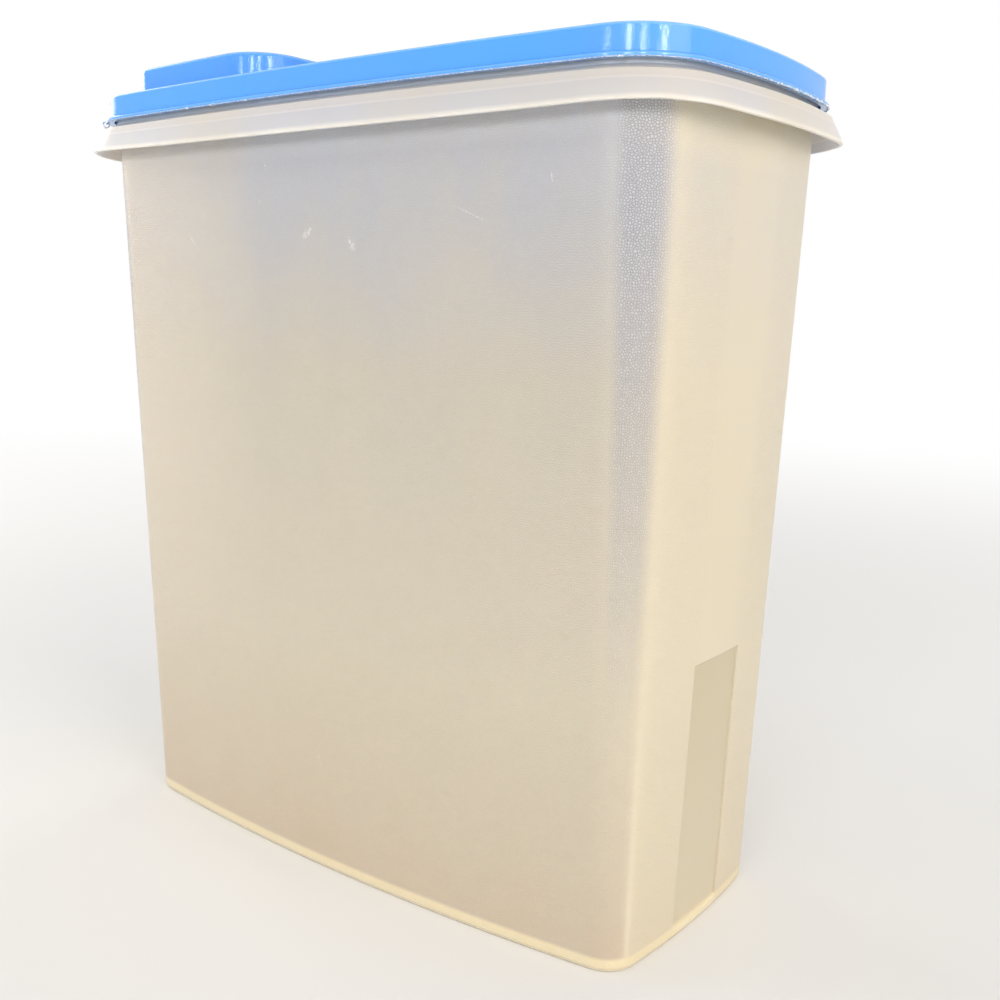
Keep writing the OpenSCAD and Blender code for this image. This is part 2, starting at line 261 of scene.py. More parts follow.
def node_tree(name, sockets):
    """A Geometry Nodes tree with named inputs, each given as the kind of its socket."""
    tree = bpy.data.node_groups.new(name, "GeometryNodeTree")
    tree.interface.new_socket("Geometry", in_out="OUTPUT", socket_type="NodeSocketGeometry")
    for label, kind in sockets.items():
        tree.interface.new_socket(label, in_out="INPUT", socket_type="NodeSocket" + kind)
    given = add(tree, "NodeGroupInput").outputs
    return tree, given


def swept(tree, plan, profile):
    """Adds the nodes that carry a section round a plan, its height upright.

    They note the way round the plan, and how far each point stands off the wall's own line.
    """
    lines = [add(tree, "GeometryNodeObjectInfo", {"Object": held}).outputs["Geometry"] for held in (plan, profile)]
    level_plan = add(tree, "GeometryNodeSetCurveNormal", {"Curve": lines[0]}, mode="Z_UP").outputs[0]
    length = add(tree, "GeometryNodeSplineParameter").outputs["Length"]
    place = add(tree, "GeometryNodeInputPosition").outputs[0]
    offset = add(tree, "ShaderNodeSeparateXYZ", {0: place}).outputs["X"]
    noted = [add(tree, "GeometryNodeStoreNamedAttribute", {"Geometry": line, "Name": label, "Value": value},
                 data_type="FLOAT").outputs[0]
             for line, label, value in ((level_plan, "way_round", length), (lines[1], "stand_off", offset))]
    return add(tree, "GeometryNodeCurveToMesh", {"Curve": noted[0], "Profile Curve": noted[1]}).outputs[0]


def finished(tree, shape, material):
    """Adds the nodes that end every tree."""
    real = add(tree, "GeometryNodeRealizeInstances", {0: shape}).outputs[0]
    dressed = add(tree, "GeometryNodeSetMaterial", {"Geometry": real, "Material": material}).outputs[0]
    add(tree, "NodeGroupOutput", {0: dressed})


def grown(name, tree, **values):
    """A new piece whose mesh the tree makes from the values, each named as its socket is."""
    piece = bpy.data.objects.new(name, bpy.data.meshes.new(name))
    bpy.context.scene.collection.objects.link(piece)
    maker = piece.modifiers.new(name, "NODES")
    maker.node_group = tree
    for label, value in values.items():
        maker[tree.interface.items_tree[label.replace("_", " ")].identifier] = value
    return settle(piece)


def settle(piece):
    """Turns a piece's modifiers into its plain mesh."""
    bpy.context.view_layer.update()
    graph = bpy.context.evaluated_depsgraph_get()
    mesh = bpy.data.meshes.new_from_object(piece.evaluated_get(graph))
    piece.modifiers.clear()
    old = piece.data
    piece.data = mesh
    bpy.data.meshes.remove(old)
    mesh.name = piece.name
    return piece


def remove(*objects):
    for held in objects:
        bpy.data.objects.remove(held)


def ends_closed(piece):
    """Closes each open ring of a swept shell with a fan of triangles."""
    bm = bmesh.new()
    bm.from_mesh(piece.data)
    bmesh.ops.remove_doubles(bm, verts=bm.verts, dist=1e-7)
    caps = bmesh.ops.holes_fill(bm, edges=bm.edges, sides=0)["faces"]
    bmesh.ops.poke(bm, faces=caps)
    if bm.calc_volume(signed=True) < 0:
        bmesh.ops.reverse_faces(bm, faces=bm.faces)
    bm.to_mesh(piece.data)
    bm.free()
    return piece


def shaded(piece, sharp_degrees=30):
    """Smooth shading that keeps the flat parts flat and the real edges sharp."""
    piece.data.shade_smooth()
    piece.data.set_sharp_from_angle(angle=math.radians(sharp_degrees))
    even = piece.modifiers.new("even", "WEIGHTED_NORMAL")
    even.keep_sharp = True
    return settle(piece)


def milky_polypropylene():
    """Injection moulded polypropylene, milky and a little yellowed, pebble grained on the walls.

    The grain breaks reflections into sparkles, and light that enters the thin wall spreads inside it.
    """
    made = bpy.data.materials.new("pebble_grained_milky_polypropylene")
    made.use_nodes = True
    tree = made.node_tree
    shader = tree.nodes["Principled BSDF"]
    place = add(tree, "ShaderNodeTexCoord").outputs["Object"]
    axes = add(tree, "ShaderNodeSeparateXYZ", {0: place}).outputs
    outer = add(tree, "ShaderNodeAttribute", attribute_name="outer_wall").outputs["Fac"]

    # Painted light in the tones: the walls are painted yellower at the foot and cooler and greyer towards the mouth,
    # as a painted reflection and shade, then paler right under the skirt to lift its shade. The neck is painted blue as
    # light bounced from the lid. The skirt is warmest below its crease, down to a pale painted highlight line, and a
    # painted highlight runs along its thin edge. Each tone is given with its height or stand-off.
    stand_off = add(tree, "ShaderNodeAttribute", attribute_name="stand_off").outputs["Fac"]
    wall_tones = ((0, "#D8C5AE"), (90, "#DDD3BE"), (190, "#D1C9BC"), (240, "#C2C3C9"), (260, "#C4C6CF"),
                  (skirt_z, "#E2E4EA"))
    flare_tones = ((neck_out, "#CBD5E2"), (neck_out + bead, "#CBD5E2"), (2.3, "#CACCD2"), (crease_out, "#D6D3D3"),
                   (7.1, "#D2D0D2"), (7.35, "#DFDDE0"), (7.6, "#CCCDD5"), (skirt_out - 0.7, "#D1D2D8"),
                   (skirt_out, "#FFF8EE"))
    toned = []
    for measure, tones in ((axes["Z"], wall_tones), (stand_off, flare_tones)):
        share = add(tree, "ShaderNodeMapRange", {"Value": measure, "From Max": tones[-1][0] * MM}).outputs[0]
        tone = add(tree, "ShaderNodeValToRGB", {0: share})
        while len(tone.color_ramp.elements) < len(tones):
            tone.color_ramp.elements.new(0.5)
        for stop, (at, shade) in zip(tone.color_ramp.elements, tones):
            stop.position = at / tones[-1][0]
            stop.color = colour(shade)
        toned.append(tone.outputs["Color"])
    flared = add(tree, "ShaderNodeMapRange", {"Value": stand_off, "From Min": 0.6 * MM, "From Max": 1.0 * MM})
    surface = add(tree, "ShaderNodeMix", {0: flared.outputs[0], 6: toned[0], 7: toned[1]},
                  data_type="RGBA").outputs[2]

    # Faint clouding, as milky plastic has where it flowed up the mould unevenly: patches 40 mm wide, 100 mm tall
    flow = add(tree, "ShaderNodeMapping", {"Vector": place, "Scale": (1, 1, 0.4)}).outputs[0]
    cloud = add(tree, "ShaderNodeTexNoise", {"Vector": flow, "Scale": 1 / (40 * MM), "Detail": 3.0}).outputs["Fac"]
    cloudy = add(tree, "ShaderNodeMapRange",
                 {"Value": cloud, "From Min": 0.35, "From Max": 0.65, "To Max": 0.4}).outputs[0]
    surface = add(tree, "ShaderNodeMix", {0: cloudy, 6: surface, 7: colour("#D9CFBB")},
                  data_type="RGBA").outputs[2]

    # Painted light: the end walls are painted paler and yellower than the broad ones, as if lit more, most of all
    # under the skirt, where the paint lifts the skirt's shade, and the walls towards the spout are painted paler too.
    # The change comes where each corner runs into its end wall, with a painted highlight down it that is clearest
    # near the foot.
    facing = add(tree, "ShaderNodeTexCoord").outputs["Normal"]
    faces = add(tree, "ShaderNodeSeparateXYZ", {0: facing}).outputs
    endwards = add(tree, "ShaderNodeMath", {0: faces["X"]}, operation="ABSOLUTE").outputs[0]
    at_end = add(tree, "ShaderNodeMapRange", {"Value": endwards, "From Min": 0.75, "From Max": 0.97},
                 interpolation_type="SMOOTHSTEP").outputs[0]
    painted_lift_under_skirt = add(tree, "ShaderNodeMapRange", {"Value": axes["Z"], "From Min": 254 * MM, "From Max": 268 * MM,
                                                 "To Min": 0.52, "To Max": 0.9}).outputs[0]
    off_corner_highlight = add(tree, "ShaderNodeMath", {0: endwards, 1: 0.905}, operation="SUBTRACT").outputs[0]
    off_corner_highlight = add(tree, "ShaderNodeMath", {0: off_corner_highlight}, operation="ABSOLUTE").outputs[0]
    painted_corner_highlight = add(tree, "ShaderNodeMapRange",
                {"Value": off_corner_highlight, "From Min": 0.015, "From Max": 0.05, "To Min": 1.0, "To Max": 0.0}).outputs[0]
    near_foot = add(tree, "ShaderNodeMapRange", {"Value": axes["Z"], "From Min": 20 * MM, "From Max": 120 * MM,
                                                 "To Min": 0.35, "To Max": 0.05}).outputs[0]
    painted_light_at_spout = add(tree, "ShaderNodeMapRange",
                   {"Value": axes["X"], "From Min": -30 * MM, "From Max": -115 * MM}).outputs[0]
    over_foot = add(tree, "ShaderNodeMapRange", {"Value": axes["Z"], "From Min": 50 * MM, "From Max": 150 * MM,
                                                 "To Min": 0.1, "To Max": 0.7}).outputs[0]
    # Painted light on the end walls and towards the spout, and a painted highlight down each corner
    for mask, share, shade in ((at_end, painted_lift_under_skirt, "#F8EBD0"), (painted_corner_highlight, near_foot, "#FBEFDC"),
                               (painted_light_at_spout, over_foot, "#EEE0CC")):
        part = add(tree, "ShaderNodeMath", {0: mask, 1: share}, operation="MULTIPLY").outputs[0]
        part = add(tree, "ShaderNodeMath", {0: part, 1: outer}, operation="MULTIPLY").outputs[0]
        surface = add(tree, "ShaderNodeMix", {0: part, 6: surface, 7: colour(shade)}, data_type="RGBA").outputs[2]

    # The smooth strip up the middle of each end wall, and the sunken panel at its foot, which is greyest near
    # its top and takes in its own sloping edges
    off_middle = add(tree, "ShaderNodeMath", {0: axes["Y"]}, operation="ABSOLUTE").outputs[0]
    below = add(tree, "ShaderNodeMapRange",
                {"Value": axes["Z"], "From Min": sight_top * MM, "From Max": (sight_top + sight_depth) * MM,
                 "To Min": 1.0, "To Max": 0.0}).outputs[0]
    deeper = add(tree, "ShaderNodeMapRange",
                 {"Value": axes["Z"], "From Min": 10 * MM, "From Max": sight_top * MM, "To Min": 0.3, "To Max": 0.65})
    panel = add(tree, "ShaderNodeMath", {0: below, 1: deeper.outputs[0]}, operation="MULTIPLY").outputs[0]
    strips = []
    for half, share, shade in ((sight_w / 2, 0.15, "#D8D0B8"), (sight_w / 2 + sight_depth, panel, "#C7BB9A")):
        strips.append(add(tree, "ShaderNodeMapRange",
                          {"Value": off_middle, "From Min": (half - 0.3) * MM, "From Max": (half + 0.3) * MM,
                           "To Min": 1.0, "To Max": 0.0}).outputs[0])
        part = add(tree, "ShaderNodeMath", {0: strips[-1], 1: share}, operation="MULTIPLY").outputs[0]
        surface = add(tree, "ShaderNodeMix", {0: part, 6: surface, 7: colour(shade)}, data_type="RGBA").outputs[2]

    # Painted light round the foot: a bright painted highlight along its thick edge, pale enough to lift the shade
    # near the floor, and a thin dark line of painted shade where its bevel starts
    painted_foot_highlight = add(tree, "ShaderNodeMapRange",
               {"Value": axes["Z"], "From Min": 4.0 * MM, "From Max": 5.4 * MM, "To Min": 0.9, "To Max": 0.0})
    off_bevel = add(tree, "ShaderNodeMath", {0: axes["Z"], 1: foot_bevel * MM}, operation="SUBTRACT").outputs[0]
    off_bevel = add(tree, "ShaderNodeMath", {0: off_bevel}, operation="ABSOLUTE").outputs[0]
    line = add(tree, "ShaderNodeMapRange",
               {"Value": off_bevel, "From Min": 0.1 * MM, "From Max": 0.4 * MM, "To Min": 0.3, "To Max": 0.0})
    for share, shade in ((painted_foot_highlight, "#FFEDCA"), (line, "#A8977E")):
        surface = add(tree, "ShaderNodeMix", {0: share.outputs[0], 6: surface, 7: colour(shade)},
                      data_type="RGBA").outputs[2]

    # Pebble grain of touching pebbles 0.9 mm wide, on the outer walls but not on the smooth strip
    way_round = add(tree, "ShaderNodeAttribute", attribute_name="way_round").outputs["Fac"]
    on_wall = add(tree, "ShaderNodeCombineXYZ", {0: way_round, 1: axes["Z"]}).outputs[0]
    squat = add(tree, "ShaderNodeMapping", {"Vector": on_wall, "Scale": (1, 1.15, 1)}).outputs[0]
    pebble = add(tree, "ShaderNodeTexVoronoi", {"Vector": squat, "Scale": 1 / (0.9 * MM), "Randomness": 0.9},
                 voronoi_dimensions="2D", feature="DISTANCE_TO_EDGE")
    raised = add(tree, "ShaderNodeMapRange",
                 {"Value": pebble.outputs["Distance"], "From Min": 0.0, "From Max": 0.42},
                 interpolation_type="SMOOTHSTEP").outputs[0]
    strip = strips[0]
    plain = add(tree, "ShaderNodeMath", {0: 1.0, 1: strip}, operation="SUBTRACT").outputs[0]
    grained = add(tree, "ShaderNodeMath", {0: plain, 1: outer}, operation="MULTIPLY").outputs[0]
    grain = add(tree, "ShaderNodeMath", {0: raised, 1: grained}, operation="MULTIPLY").outputs[0]

    # Painted highlight and shade on the grain: the pebble tops are painted paler and the grooves darker, faintly on
    # all the grained walls and most round the four corners and near the mouth. A corner is where the wall faces about
    # as much along X as along Y.
    turned = add(tree, "ShaderNodeMath", {0: faces["X"], 1: faces["Y"]}, operation="MULTIPLY").outputs[0]
    turned = add(tree, "ShaderNodeMath", {0: turned}, operation="ABSOLUTE").outputs[0]
    cornered = add(tree, "ShaderNodeMapRange", {"Value": turned, "From Min": 0.24, "From Max": 0.44},
                   interpolation_type="SMOOTHSTEP").outputs[0]
    high_up = add(tree, "ShaderNodeMapRange",
                  {"Value": axes["Z"], "From Min": 80 * MM, "From Max": 235 * MM, "To Min": 0.05}).outputs[0]
    painted_glints = add(tree, "ShaderNodeMath", {0: cornered, 1: high_up}, operation="MULTIPLY").outputs[0]
    off_end = add(tree, "ShaderNodeMath", {0: 1.0, 1: at_end}, operation="SUBTRACT").outputs[0]
    for mask in (grained, off_end):
        painted_glints = add(tree, "ShaderNodeMath", {0: painted_glints, 1: mask}, operation="MULTIPLY").outputs[0]
    # Painted reflection: the corners are painted a cooler, darker bluish grey, less so right under the skirt
    below_skirt = add(tree, "ShaderNodeMapRange", {"Value": axes["Z"], "From Min": 255 * MM, "From Max": 267 * MM,
                                                   "To Min": 0.7, "To Max": 0.15}).outputs[0]
    painted_corner_reflection = add(tree, "ShaderNodeMath", {0: painted_glints, 1: below_skirt}, operation="MULTIPLY").outputs[0]
    surface = add(tree, "ShaderNodeMix", {0: painted_corner_reflection, 6: surface, 7: colour("#B1B3BE")}, data_type="RGBA").outputs[2]
    # Painted highlight and shade: the pebble tops are lightened and the grooves darkened by this contrast
    contrast = add(tree, "ShaderNodeMapRange", {"Value": painted_glints, "To Min": 0.08, "To Max": 0.55}).outputs[0]
    contrast = add(tree, "ShaderNodeMath", {0: contrast, 1: grained}, operation="MULTIPLY").outputs[0]
    over = add(tree, "ShaderNodeMath", {0: raised, 1: 0.5}, operation="SUBTRACT").outputs[0]
    brightness = add(tree, "ShaderNodeMath", {0: over, 1: contrast, 2: 1.0}, operation="MULTIPLY_ADD").outputs[0]
    surface = add(tree, "ShaderNodeVectorMath", {0: surface, "Scale": brightness}, operation="SCALE").outputs[0]

    # Scuffs and hair scratches on the front: x, height, half length, half width in mm, and turn in degrees
    scuffs = ((-6.4, 235.8, 3.2, 1.5, -35), (14.6, 231.9, 3.0, 1.8, 60), (-69.4, 233.3, 5.2, 0.35, 46),
              (-26.8, 259.3, 2.8, 0.35, 75), (64.5, 240.4, 7.0, 0.3, 22), (-30.5, 247.0, 1.0, 0.7, 0),
              (93.6, 250.0, 3.0, 0.3, 80), (-7.2, 43.4, 4.0, 0.3, 70), (26.8, 97.0, 3.5, 0.3, 60))
    speckle = add(tree, "ShaderNodeTexNoise", {"Vector": place, "Scale": 1 / (0.9 * MM), "Detail": 3.0}).outputs["Fac"]
    patchy = add(tree, "ShaderNodeMapRange", {"Value": speckle, "From Min": 0.4, "From Max": 0.6}).outputs[0]
    for x, z, long, wide, turn in scuffs:
        near = add(tree, "ShaderNodeMapping",
                   {"Vector": place, "Location": (x * MM, -60 * MM, z * MM), "Rotation": (0, math.radians(turn), 0),
                    "Scale": (long * MM, 20 * MM, wide * MM)}, vector_type="TEXTURE").outputs[0]
        off = add(tree, "ShaderNodeVectorMath", {0: near}, operation="LENGTH").outputs["Value"]
        mark = add(tree, "ShaderNodeMapRange", {"Value": off, "From Min": 0.5, "From Max": 1.0, "To Min": 0.55,
                                                "To Max": 0.0}).outputs[0]
        mark = add(tree, "ShaderNodeMath", {0: mark, 1: patchy}, operation="MULTIPLY").outputs[0]
        surface = add(tree, "ShaderNodeMix", {0: mark, 6: surface, 7: colour("#FBF8F4")}, data_type="RGBA").outputs[2]
    waves = add(tree, "ShaderNodeTexNoise", {"Vector": place, "Scale": 45.0, "Detail": 2.0}).outputs["Fac"]
    slow = add(tree, "ShaderNodeBump", {"Height": waves, "Strength": 0.5, "Distance": 0.4 * MM}).outputs[0]
    relief = add(tree, "ShaderNodeBump", {"Height": grain, "Strength": 1.0, "Distance": 0.08 * MM, "Normal": slow})

    tree.links.new(surface, shader.inputs["Base Color"])
    tree.links.new(relief.outputs[0], shader.inputs["Normal"])
    shader.inputs["Roughness"].default_value = 0.3
    shader.inputs["IOR"].default_value = 1.49
    shader.inputs["Subsurface Weight"].default_value = 0.6
    shader.inputs["Subsurface Radius"].default_value = (1.0, 0.9, 0.7)
    shader.inputs["Subsurface Scale"].default_value = 4 * MM
    shader.inputs["Transmission Weight"].default_value = 0.15
    shader.inputs["Sheen Weight"].default_value = 0.2
    shader.inputs["Sheen Roughness"].default_value = 0.25
    shader.inputs["Sheen Tint"].default_value = colour("#FFF6E8")
    return made


foot_arcs = plan_arcs(**foot)
mouth_arcs = plan_arcs(**mouth)
crease_in = crease_out - skirt_t
outside = [
    (-foot_bevel - foot_ring - foot_recess, foot_recess),
    (-foot_bevel - foot_ring, 0),
    (-foot_bevel, 0),
    (-foot_bevel / 3, foot_bevel / 3),
    (0, foot_bevel),
    (0, floor_z - sight_depth),
    (0, floor_z),
    (0, sight_top),
    (0, sight_top + sight_depth),
    (0, (sight_top + shoulder_z) / 2),
    (0, shoulder_z),
    (0, neck_z - skirt_t - edge_r),
    (edge_r, neck_z - skirt_t),
    (crease_in, crease_z - skirt_t / 2)]
hem = wall_end(skirt_out - skirt_t, skirt_out, skirt_z, -1)
neck = [
    (crease_out, crease_z),
    (neck_out + edge_r, neck_z),
    (neck_out, neck_z + edge_r),
    (neck_out, neck_top - 2.3),
    (neck_out + bead, neck_top - 1.8),
    (neck_out + bead, neck_top - 2 * edge_r)]
rim = wall_end(neck_out + bead - edge_r / 2, neck_in, neck_top, 1)
fillet_turns = [math.pi / 2 * i / 8 for i in range(9)]
inside = [(neck_in, neck_z), (-wall, neck_z - neck_out), (-wall, shoulder_z)]
inside += [(-wall - floor_fillet * (1 - math.cos(t)), floor_z + floor_fillet * (1 - math.sin(t)))
           for t in fillet_turns]
canister_stations = (outside + hem + neck + rim + inside)[::-1]

canister_tree, given = node_tree("Drafted canister", {
    "Foot Plan": "Object", "Mouth Plan": "Object", "Section": "Object", "Shoulder Height": "Float",
    "Panel Width": "Float", "Panel Top": "Float", "Panel Foot": "Float", "Panel Depth": "Float",
    "Hem Start": "Float", "Corner X": "Float", "Corner Y": "Float", "Side Sag": "Float", "End Sag": "Float",
    "Material": "Material"})
foot_sweep = swept(canister_tree, given["Foot Plan"], given["Section"])
mouth_sweep = swept(canister_tree, given["Mouth Plan"], given["Section"])
spot = add(canister_tree, "GeometryNodeInputPosition").outputs[0]
index = add(canister_tree, "GeometryNodeInputIndex").outputs[0]
at_foot = add(canister_tree, "GeometryNodeSampleIndex", {"Geometry": foot_sweep, "Value": spot, "Index": index},
              data_type="FLOAT_VECTOR").outputs[0]
spot_axes = add(canister_tree, "ShaderNodeSeparateXYZ", {0: spot}).outputs
spread = add(canister_tree, "ShaderNodeMapRange",
             {"Value": spot_axes["Z"], "From Max": given["Shoulder Height"]}).outputs[0]
between = add(canister_tree, "ShaderNodeMix", {0: spread, 4: at_foot, 5: spot}, data_type="VECTOR").outputs[1]
drafted = add(canister_tree, "GeometryNodeSetPosition", {"Geometry": mouth_sweep, "Position": between}).outputs[0]
facing = add(canister_tree, "GeometryNodeInputNormal").outputs[0]
level_spot = add(canister_tree, "ShaderNodeVectorMath", {0: spot, 1: (1, 1, 0)}, operation="MULTIPLY").outputs[0]
outward = add(canister_tree, "ShaderNodeVectorMath", {0: facing, 1: level_spot}, operation="DOT_PRODUCT")
is_outer = add(canister_tree, "FunctionNodeCompare", {0: outward.outputs["Value"], 1: 0.0},
               operation="GREATER_THAN").outputs[0]
side_off = add(canister_tree, "ShaderNodeMath", {0: spot_axes["Y"]}, operation="ABSOLUTE").outputs[0]
panel_half = add(canister_tree, "ShaderNodeMath", {0: given["Panel Width"], 1: 0.5, 2: 0.01 * MM},
                 operation="MULTIPLY_ADD").outputs[0]
tests = (("LESS_THAN", side_off, panel_half), ("GREATER_EQUAL", spot_axes["Z"], given["Panel Foot"]),
         ("LESS_EQUAL", spot_axes["Z"], given["Panel Top"]))
in_panel = is_outer
for operation, value, limit in tests:
    passed = add(canister_tree, "FunctionNodeCompare", {0: value, 1: limit}, operation=operation).outputs[0]
    in_panel = add(canister_tree, "FunctionNodeBooleanMath", {0: in_panel, 1: passed}, operation="AND").outputs[0]
end_side = add(canister_tree, "ShaderNodeMath", {0: spot_axes["X"]}, operation="SIGN").outputs[0]
sink = add(canister_tree, "ShaderNodeMath", {0: end_side, 1: given["Panel Depth"]}, operation="MULTIPLY").outputs[0]
sink = add(canister_tree, "ShaderNodeMath", {0: sink, 1: -1.0}, operation="MULTIPLY").outputs[0]
step_in = add(canister_tree, "ShaderNodeCombineXYZ", {0: sink}).outputs[0]
sunk = add(canister_tree, "GeometryNodeSetPosition",
           {"Geometry": drafted, "Selection": in_panel, "Offset": step_in}).outputs[0]

# The skirt's edge sags between its corners, most in the middle of a wall
stand_off = add(canister_tree, "GeometryNodeInputNamedAttribute", {"Name": "stand_off"}, data_type="FLOAT").outputs[0]
drops = []
for axis, label in (("X", "Side Sag"), ("Y", "End Sag")):
    along = add(canister_tree, "ShaderNodeMath", {0: spot_axes[axis]}, operation="ABSOLUTE").outputs[0]
    share = add(canister_tree, "ShaderNodeMath", {0: along, 1: given[f"Corner {axis}"]}, operation="DIVIDE").outputs[0]
    cubed = add(canister_tree, "ShaderNodeMath", {0: share, 1: 3.0}, operation="POWER").outputs[0]
    dip = add(canister_tree, "ShaderNodeMapRange", {"Value": cubed, "To Min": 1.0, "To Max": 0.0}).outputs[0]
    drops.append(add(canister_tree, "ShaderNodeMath", {0: dip, 1: given[label]}, operation="MULTIPLY").outputs[0])
sag = add(canister_tree, "ShaderNodeMath", {0: drops[0], 1: drops[1]}, operation="ADD").outputs[0]
lower = add(canister_tree, "ShaderNodeMath", {0: sag, 1: -1.0}, operation="MULTIPLY").outputs[0]
at_hem = add(canister_tree, "FunctionNodeCompare", {0: stand_off, 1: given["Hem Start"]},
             operation="GREATER_THAN").outputs[0]
hung = add(canister_tree, "GeometryNodeSetPosition",
           {"Geometry": sunk, "Selection": at_hem,
            "Offset": add(canister_tree, "ShaderNodeCombineXYZ", {2: lower}).outputs[0]}).outputs[0]

off_wall = add(canister_tree, "ShaderNodeMath", {0: stand_off}, operation="ABSOLUTE").outputs[0]
on_wall = add(canister_tree, "FunctionNodeCompare", {0: off_wall, 1: 0.1 * MM}, operation="LESS_THAN").outputs[0]
marked = add(canister_tree, "GeometryNodeStoreNamedAttribute",
             {"Geometry": hung, "Name": "outer_wall", "Value": on_wall}, data_type="FLOAT").outputs[0]
finished(canister_tree, marked, given["Material"])

foot_path = path("foot_plan", canister_plan(foot_arcs))
mouth_path = path("mouth_plan", canister_plan(mouth_arcs))
canister_section = section("canister_section", canister_stations)
hem_corner = mouth_arcs.corner_c + (mouth_arcs.corner_r + skirt_out) * Vector((math.sqrt(0.5), math.sqrt(0.5)))
canister = grown("canister_moulding", canister_tree, Foot_Plan=foot_path, Mouth_Plan=mouth_path,
                 Section=canister_section, Shoulder_Height=shoulder_z * MM, Panel_Width=sight_w * MM,
                 Panel_Top=(sight_top + 0.1) * MM, Panel_Foot=(floor_z - 0.1) * MM,
                 Panel_Depth=sight_depth * MM, Hem_Start=(crease_out + 0.1) * MM, Corner_X=hem_corner.x * MM,
                 Corner_Y=hem_corner.y * MM, Side_Sag=side_sag * MM, End_Sag=end_sag * MM,
                 Material=milky_polypropylene())
shaded(ends_closed(canister))
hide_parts("container")
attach(canister, "container")
remove(canister_section, foot_path)

# Lid
# One press-on moulding in sky blue polyethylene: an edge that grips the neck inside and out, a sunken deck, the
# collar of the pour opening, and two lugs for the cap's pins. Sizes are in millimetres.
channel_out = 2.1
lid_t = 1.4
lid_out = 3.5
lid_top = 290
lip_z = 280.6
lip_reach = 1.4
lip_t = 1.3
plug_out = -0.8
plug_in = -2.2
plug_z = 280
lid_round = 1
deck_z = 284
cap_out = -10.3
cap_length = 80
cap_front_r = 8
cap_rear_r = 18
cap_top = 302
cap_t = 1.4
collar_out = -2.1
collar_t = 1.4
collar_back = 1.8
collar_top = 296.5
collar_root = 1.5 * lid_t
hinge_back = 4
axis_z = 288
lug_y = 30
lug_w = 3.5
lug_r = 3.3
lug_foot_half = 0.9 * lug_r
pin_r = 1.5
pin_play = 0.06
cap_front_x = -(mouth["length"] / 2 + cap_out)
cap_back_x = cap_front_x + cap_length
axis_x = cap_back_x + hinge_back


def cap_plan(offset=0, back_in=0):
    """The flip cap's plan: front and sides run parallel to the lid's, and the back is straight."""
    side_r = mouth_arcs.side_r + cap_out
    end_r = mouth_arcs.end_r + cap_out
    end_c = Vector((-mouth_arcs.end_c.x, 0))
    back_x = cap_back_x - back_in - cap_rear_r
    back = Vector((back_x, mouth_arcs.side_c.y + math.sqrt((side_r - cap_rear_r) ** 2 - back_x ** 2)))
    far = corner_centre(mouth_arcs.side_c, side_r, mouth_arcs.end_c, end_r, cap_front_r)
    front = Vector((-far.x, far.y))
    rear_turn = heading(back - mouth_arcs.side_c)
    front_turn = heading(front - mouth_arcs.side_c)
    end_turn = heading(front - end_c)
    half = [Vector((back.x + cap_rear_r + offset, y)) for y in (0, back.y / 2)]
    half += arc(back, cap_rear_r + offset, 0, rear_turn, 14)
    half += arc(mouth_arcs.side_c, side_r + offset, rear_turn, front_turn, 10)[1:]
    half += arc(front, cap_front_r + offset, front_turn, end_turn, 14)[1:]
    half += arc(end_c, end_r + offset, end_turn, math.pi, 10)[1:]
    return half + [Vector((p.x, -p.y)) for p in half[-2:0:-1]]


